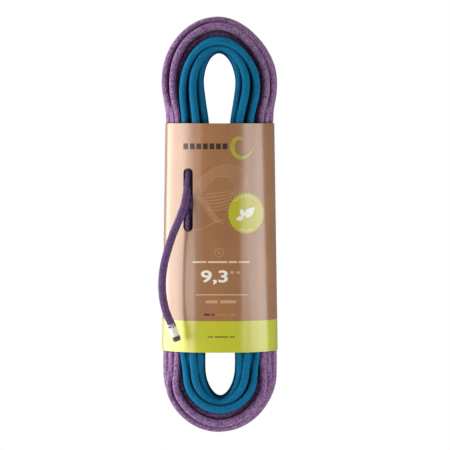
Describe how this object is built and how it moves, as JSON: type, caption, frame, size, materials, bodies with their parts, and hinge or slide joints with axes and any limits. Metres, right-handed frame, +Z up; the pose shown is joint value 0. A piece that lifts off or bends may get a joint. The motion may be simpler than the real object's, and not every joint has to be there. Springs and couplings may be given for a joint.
{
  "type": "dynamic climbing rope",
  "caption": "Two-colour braided climbing rope, wound into an upright oval coil and held by a card sleeve, with one finished end hanging out of the sleeve's slot.",
  "frame": {"origin": "the inner top of the coil's top loop, where a peg carries it", "axes": "+Z up along the coil, -Y is the front with the slot and the seal, +X to the right seen from the front"},
  "size_m": [0.1422, 0.1376, 0.497],
  "materials": {
    "rope_purple": "braided, matt, heathered",
    "rope_blue": "braided, matt, finely ribbed",
    "rope_purple_dark": "braided, matt",
    "core": "twisted strands",
    "marker": "woven, dark with white flecks",
    "label": "smooth",
    "clear_film": "clear, glossy",
    "fused_tip": "melted, satin",
    "kraft_card": "satin coated kraft",
    "glue": "dried hot-melt",
    "seal": "gloss label"
  },
  "bodies": {
    "coil": {"purple_turns": "rope_purple", "blue_turns": "rope_blue", "root_sheath": "rope_purple_dark", "root_core": "core", "blue_end_sheath": "rope_blue", "blue_end_core": "core", "blue_end_ring": "marker", "blue_end_label": "label", "blue_end_shrink": "clear_film", "blue_end_tip": "fused_tip"},
    "sleeve": {"card_sleeve": "kraft_card", "seam_glue": "glue", "seal_sticker": "seal"},
    "tail": {"tail_sheath": "rope_purple_dark", "tail_core": "core", "tail_ring": "marker", "tail_label": "label", "tail_shrink": "clear_film", "tail_tip": "fused_tip"}
  },
  "joints": [
    {"name": "sleeve_slide", "type": "slide", "parent": "coil", "child": "sleeve", "axis": [0, 0, -1], "range_m": [0, 0.012]},
    {"name": "tail_swing", "type": "hinge", "parent": "coil", "child": "tail", "pos_m": [-0.0416, -0.065, -0.1812], "axis": [0, 1, 0], "range_deg": [-8, 30], "stiffness_Nm_per_rad": 0.02, "springref_deg": 5.73}
  ]
}
